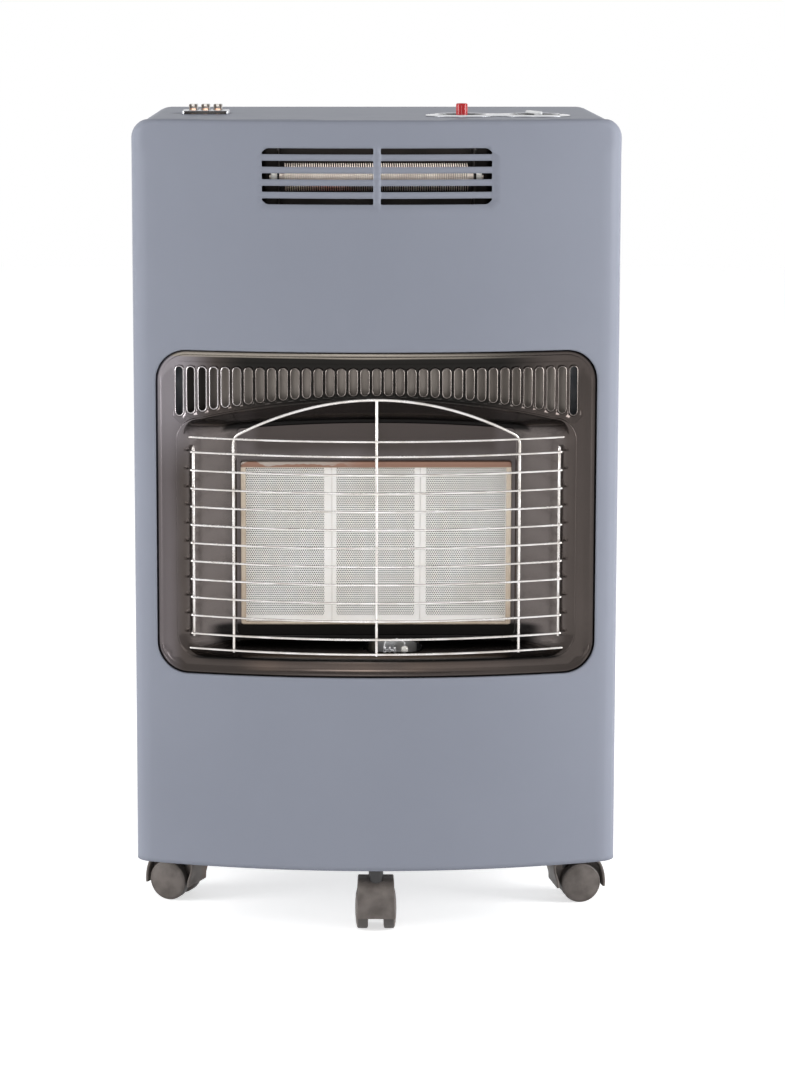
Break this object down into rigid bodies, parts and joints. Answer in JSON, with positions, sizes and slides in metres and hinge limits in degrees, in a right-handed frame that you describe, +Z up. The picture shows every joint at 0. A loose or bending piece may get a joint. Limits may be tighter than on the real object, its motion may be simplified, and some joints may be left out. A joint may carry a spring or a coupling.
{
  "type": "portable gas cabinet heater",
  "caption": "Upright steel cabinet heater with a bowed front, a radiant ceramic gas burner behind a wire guard, an electric element behind a top grille, a bottle bay and swivel casters.",
  "frame": {"origin": "on the floor, under the centre of the whole heater's bounding box", "axes": "+X to the right seen from the front, +Y to the back, +Z up"},
  "size_m": [0.42, 0.4062, 0.72],
  "materials": {
    "cabinet_paint": "satin blue-grey enamel",
    "inner_steel": "bare galvanised sheet",
    "dark_chrome": "glossy brown-black enamel",
    "satin_steel": "satin",
    "burner_steel": "heat-tinted",
    "ceramic": null,
    "guard_chrome": "bright wire",
    "brass": "bare brass",
    "copper": "bare copper",
    "black_plastic": "moulded",
    "silver_plastic": "silvered",
    "smoky_plastic": "smoky, lit from inside",
    "red_plastic": "glossy",
    "caster_plastic": "moulded nylon",
    "lead_rubber": "insulated lead"
  },
  "bodies": {
    "cabinet": {"base_plate": "inner_steel", "front_panel": "cabinet_paint", "cabinet_wrap": "cabinet_paint", "back_panel": "cabinet_paint", "heat_shield": "inner_steel", "mains_inlet_gland": "black_plastic", "radiant_surround": "dark_chrome", "heat_deflector": "satin_steel", "burner_frame": "burner_steel", "ceramic_plaque_1": "ceramic", "ceramic_plaque_2": "ceramic", "ceramic_plaque_3": "ceramic", "burner_body": "burner_steel", "injector_rail": "brass", "pilot_bracket": "satin_steel", "pilot_burner": "satin_steel", "spark_electrode": "ceramic", "wire_guard": "guard_chrome", "heating_element": "satin_steel", "element_bracket_left": "inner_steel", "element_bracket_right": "inner_steel", "element_reflector": "inner_steel", "switch_block": "black_plastic", "switch_bezel": "silver_plastic", "control_escutcheon": "silver_plastic", "control_bowl": "black_plastic", "gas_valve": "brass", "hose_nozzle": "brass", "igniter_body": "black_plastic", "burner_pipe": "copper", "pilot_pipe": "copper", "ignition_lead": "lead_rubber"},
    "rear_cover": {"rear_cover": "cabinet_paint"},
    "switch_1": {"heater_switch_1": "smoky_plastic"},
    "switch_2": {"heater_switch_2": "smoky_plastic"},
    "switch_3": {"heater_switch_3": "smoky_plastic"},
    "knob": {"control_knob": "black_plastic"},
    "spindle": {"valve_spindle": "satin_steel"},
    "igniter": {"igniter_button": "red_plastic"},
    "caster_front": {"caster_front_hood": "caster_plastic"},
    "caster_front_wheels": {"caster_front_axle": "satin_steel", "caster_front_wheel_left": "caster_plastic", "caster_front_wheel_right": "caster_plastic"},
    "caster_left": {"caster_left_hood": "caster_plastic"},
    "caster_left_wheels": {"caster_left_axle": "satin_steel", "caster_left_wheel_left": "caster_plastic", "caster_left_wheel_right": "caster_plastic"},
    "caster_right": {"caster_right_hood": "caster_plastic"},
    "caster_right_wheels": {"caster_right_axle": "satin_steel", "caster_right_wheel_left": "caster_plastic", "caster_right_wheel_right": "caster_plastic"},
    "caster_rear_left": {"caster_rear_left_hood": "caster_plastic"},
    "caster_rear_left_wheels": {"caster_rear_left_axle": "satin_steel", "caster_rear_left_wheel_left": "caster_plastic", "caster_rear_left_wheel_right": "caster_plastic"},
    "caster_rear_right": {"caster_rear_right_hood": "caster_plastic"},
    "caster_rear_right_wheels": {"caster_rear_right_axle": "satin_steel", "caster_rear_right_wheel_left": "caster_plastic", "caster_rear_right_wheel_right": "caster_plastic"}
  },
  "joints": [
    {"name": "spindle_turn", "type": "hinge", "parent": "cabinet", "child": "spindle", "pos_m": [0.138, -0.10117, 0.684], "axis": [0, 0, 1], "range_deg": [0, 240]},
    {"name": "knob_press", "type": "slide", "parent": "spindle", "child": "knob", "axis": [0, 0, -1], "range_m": [0, 0.004], "stiffness_N_per_m": 800, "springref_m": -0.002},
    {"name": "igniter_press", "type": "slide", "parent": "cabinet", "child": "igniter", "axis": [0, 0, -1], "range_m": [0, 0.006], "stiffness_N_per_m": 600, "springref_m": -0.003},
    {"name": "switch_1_press", "type": "slide", "parent": "cabinet", "child": "switch_1", "axis": [0, 0, -1], "range_m": [0, 0.003], "stiffness_N_per_m": 500, "springref_m": -0.002},
    {"name": "switch_2_press", "type": "slide", "parent": "cabinet", "child": "switch_2", "axis": [0, 0, -1], "range_m": [0, 0.003], "stiffness_N_per_m": 500, "springref_m": -0.002},
    {"name": "switch_3_press", "type": "slide", "parent": "cabinet", "child": "switch_3", "axis": [0, 0, -1], "range_m": [0, 0.003], "stiffness_N_per_m": 500, "springref_m": -0.002},
    {"name": "rear_cover_pull", "type": "slide", "parent": "cabinet", "child": "rear_cover", "axis": [0, 1, 0], "range_m": [0, 0.25]},
    {"name": "caster_front_swivel", "type": "hinge", "parent": "cabinet", "child": "caster_front", "pos_m": [0, -0.18517, 0.05], "axis": [0, 0, 1], "continuous": true},
    {"name": "caster_front_roll", "type": "hinge", "parent": "caster_front", "child": "caster_front_wheels", "pos_m": [0, -0.17317, 0.018], "axis": [1, 0, 0], "continuous": true},
    {"name": "caster_left_swivel", "type": "hinge", "parent": "cabinet", "child": "caster_left", "pos_m": [-0.17, -0.08517, 0.05], "axis": [0, 0, 1], "continuous": true},
    {"name": "caster_left_roll", "type": "hinge", "parent": "caster_left", "child": "caster_left_wheels", "pos_m": [-0.18088, -0.0801, 0.018], "axis": [0.4226, 0.9063, 0], "continuous": true},
    {"name": "caster_right_swivel", "type": "hinge", "parent": "cabinet", "child": "caster_right", "pos_m": [0.1715, -0.08917, 0.05], "axis": [0, 0, 1], "continuous": true},
    {"name": "caster_right_roll", "type": "hinge", "parent": "caster_right", "child": "caster_right_wheels", "pos_m": [0.18332, -0.08709, 0.018], "axis": [0.1736, -0.9848, 0], "continuous": true},
    {"name": "caster_rear_left_swivel", "type": "hinge", "parent": "cabinet", "child": "caster_rear_left", "pos_m": [-0.135, 0.16283, 0.05], "axis": [0, 0, 1], "continuous": true},
    {"name": "caster_rear_left_roll", "type": "hinge", "parent": "caster_rear_left", "child": "caster_rear_left_wheels", "pos_m": [-0.1391, 0.1741, 0.018], "axis": [0.9397, 0.342, 0], "continuous": true},
    {"name": "caster_rear_right_swivel", "type": "hinge", "parent": "cabinet", "child": "caster_rear_right", "pos_m": [0.135, 0.16283, 0.05], "axis": [0, 0, 1], "continuous": true},
    {"name": "caster_rear_right_roll", "type": "hinge", "parent": "caster_rear_right", "child": "caster_rear_right_wheels", "pos_m": [0.13811, 0.17442, 0.018], "axis": [0.9659, -0.2588, 0], "continuous": true}
  ]
}
